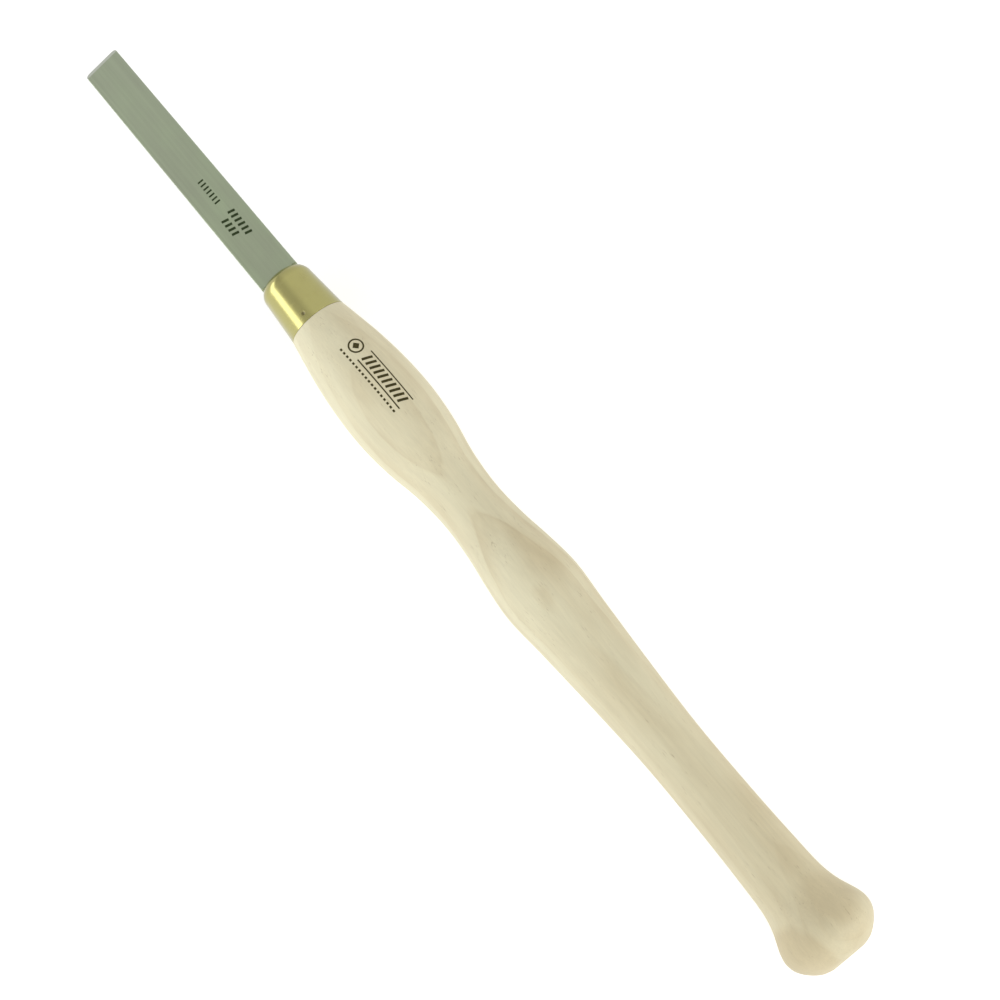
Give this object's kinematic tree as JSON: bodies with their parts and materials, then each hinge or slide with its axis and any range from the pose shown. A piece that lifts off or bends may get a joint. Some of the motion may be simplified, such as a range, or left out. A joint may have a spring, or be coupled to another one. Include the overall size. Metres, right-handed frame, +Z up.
{
  "type": "v parting tool",
  "caption": "Woodturning parting tool: flat bar blade ground to a V edge, tapered brass ferrule with a rounded nose, and a long turned hardwood handle with two swellings and a knob end",
  "frame": {"origin": "centre of the bounding box's underside: halfway along the tool, under its axis, on the surface its knob rests on", "axes": "+X along the tool from the butt to the cutting tip; +Z up, square to the blade's broad faces; +Y towards the narrow edge that lies on the lathe's tool rest in use"},
  "size_m": [0.48, 0.0404, 0.0405],
  "materials": {
    "handle_wood": "thin clear satin finish over pale, fine-grained hardwood",
    "ferrule_brass": "polished, lightly drawn",
    "blade_steel": "fine ground, satin"
  },
  "bodies": {
    "root": {"handle": "handle_wood", "ferrule": "ferrule_brass", "blade": "blade_steel"}
  },
  "joints": []
}
